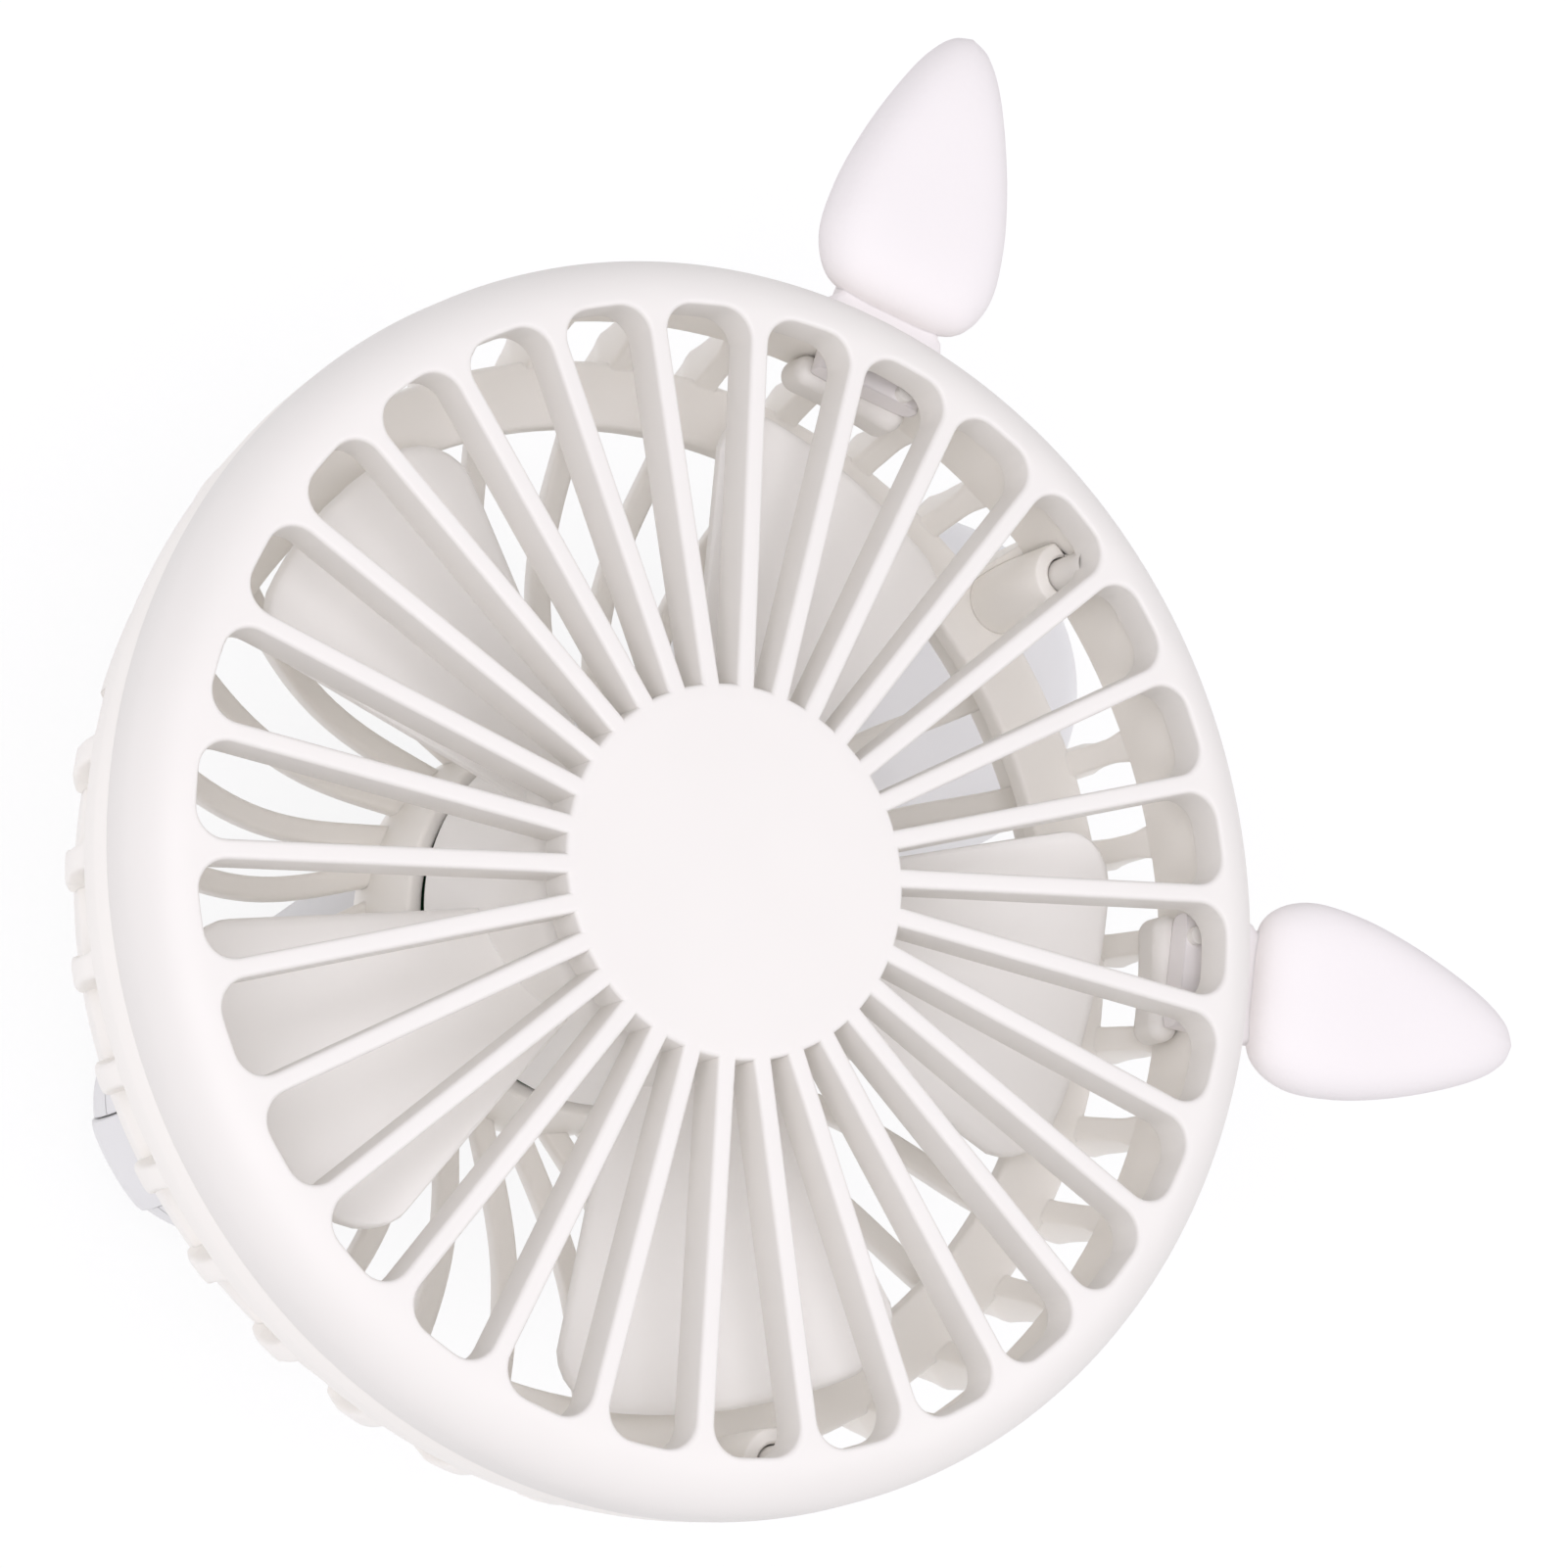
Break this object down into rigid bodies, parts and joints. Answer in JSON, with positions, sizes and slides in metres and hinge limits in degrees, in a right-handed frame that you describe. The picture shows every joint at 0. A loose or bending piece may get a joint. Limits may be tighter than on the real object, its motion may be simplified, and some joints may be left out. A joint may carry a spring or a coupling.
{
  "type": "folding desk fan",
  "caption": "Small rechargeable fan with a round ribbed grille, soft ears on its rim, a multi-blade impeller and a battery handle that folds flat behind the head.",
  "frame": {"origin": "where the fan's axis meets the flat back face of the folded handle", "axes": "+Z along the fan's axis, out of the front grille; +Y towards the ears; +X to the fan's right seen from the front"},
  "size_m": [0.1054, 0.1263, 0.0665],
  "materials": {
    "shell_white": "smooth satin moulding, warm white",
    "basket_white": "smooth satin moulding, warm white",
    "ear_soft": "soft matte, pale",
    "impeller_white": "semi-matt, slightly greyer white",
    "handle_white": "satin, cool white",
    "button_grey": "matt, pale grey",
    "light_window": "frosted",
    "steel": "plated",
    "lamination": "stacked sheet",
    "magnet": "matt",
    "copper": "enamelled wire",
    "bronze": "turned",
    "board_green": "solder mask",
    "cell_wrap": "foil pouch",
    "nickel": "thin strip",
    "switch_black": "moulded"
  },
  "bodies": {
    "head": {"front_grille": "shell_white", "rear_cover": "basket_white", "cover_screws": "steel", "ear_left": "ear_soft", "ear_right": "ear_soft", "ear_clip_left": "shell_white", "ear_clip_right": "shell_white", "motor_board": "board_green", "stator_core": "lamination", "stator_coils": "copper", "bearing_tube": "bronze", "bearings": "bronze", "hinge_pin": "steel", "hinge_washers": "steel"},
    "rotor": {"impeller": "impeller_white", "rotor_yoke": "steel", "magnet_ring": "magnet", "motor_shaft": "steel", "shaft_clip": "steel"},
    "handle": {"handle_front_shell": "handle_white", "handle_rear_shell": "handle_white", "handle_screws": "steel", "battery_cell": "cell_wrap", "battery_tabs": "nickel", "circuit_board": "board_green", "usb_socket": "steel", "tact_switch": "switch_black", "led_window": "light_window"},
    "button": {"power_button": "button_grey"}
  },
  "joints": [
    {"name": "impeller_spin", "type": "hinge", "parent": "head", "child": "rotor", "pos_m": [0, 0, 0.0545], "axis": [0, 0, 1], "continuous": true},
    {"name": "handle_fold", "type": "hinge", "parent": "head", "child": "handle", "pos_m": [0, -0.0262, 0.011], "axis": [-1, 0, 0], "range_deg": [0, 180]},
    {"name": "button_press", "type": "slide", "parent": "handle", "child": "button", "axis": [0, 0, 1], "range_m": [0, 0.0008], "stiffness_N_per_m": 1500}
  ]
}
